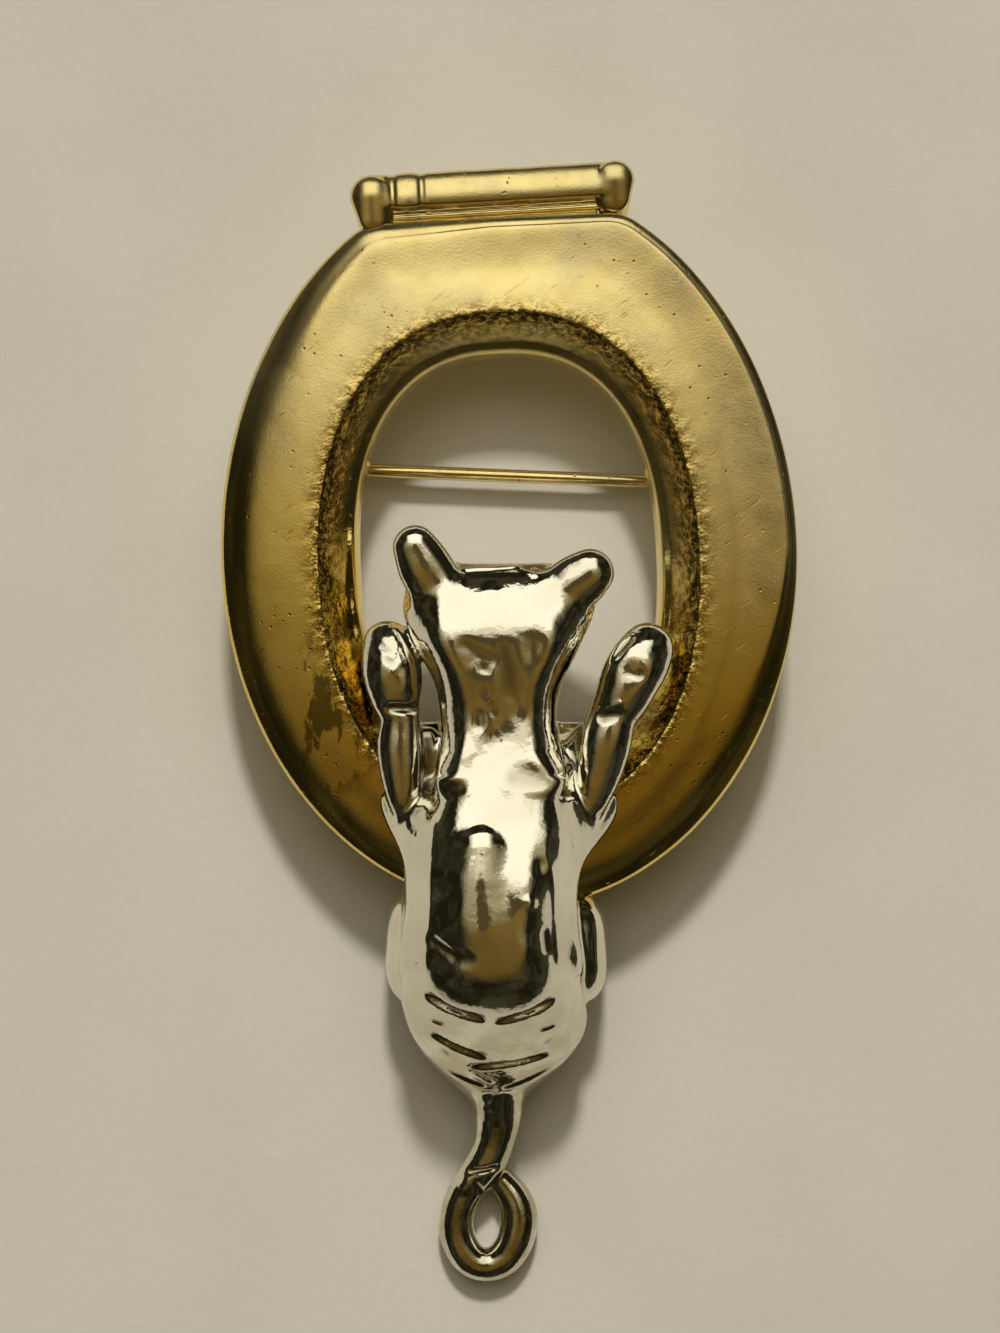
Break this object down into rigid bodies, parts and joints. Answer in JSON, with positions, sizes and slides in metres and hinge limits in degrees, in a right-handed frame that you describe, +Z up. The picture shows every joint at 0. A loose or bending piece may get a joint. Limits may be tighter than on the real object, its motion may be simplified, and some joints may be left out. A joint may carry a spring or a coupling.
{
  "type": "cat brooch",
  "caption": "Brooch of a polished silver cat climbing over the front of a gold lavatory seat, with its paws on the rim, a looped tail and a hinged pin and open catch behind.",
  "frame": {"origin": "on the surface the brooch lies on, face up, under the middle of its outline", "axes": "+Z up out of the brooch's face, +Y from the cat's tail to the seat's hinge bar, +X to the right seen from the face"},
  "size_m": [0.0294, 0.0579, 0.0116],
  "materials": {
    "gold_plate": "gold plating over white metal, polished, softly dulled and finely pitted",
    "silver_plate": "silver plating over white metal, mirror polished",
    "pin_wire": "gold plated wire, satin"
  },
  "bodies": {
    "brooch": {"seat": "gold_plate", "cat": "silver_plate", "rivet": "pin_wire"},
    "stem": {"pin_stem": "pin_wire"}
  },
  "joints": [
    {"name": "stem_hinge", "type": "hinge", "parent": "brooch", "child": "stem", "pos_m": [-0.01063, 0.01352, 0.0012], "axis": [0.0401, 0.9992, 0], "range_deg": [0, 90]}
  ]
}
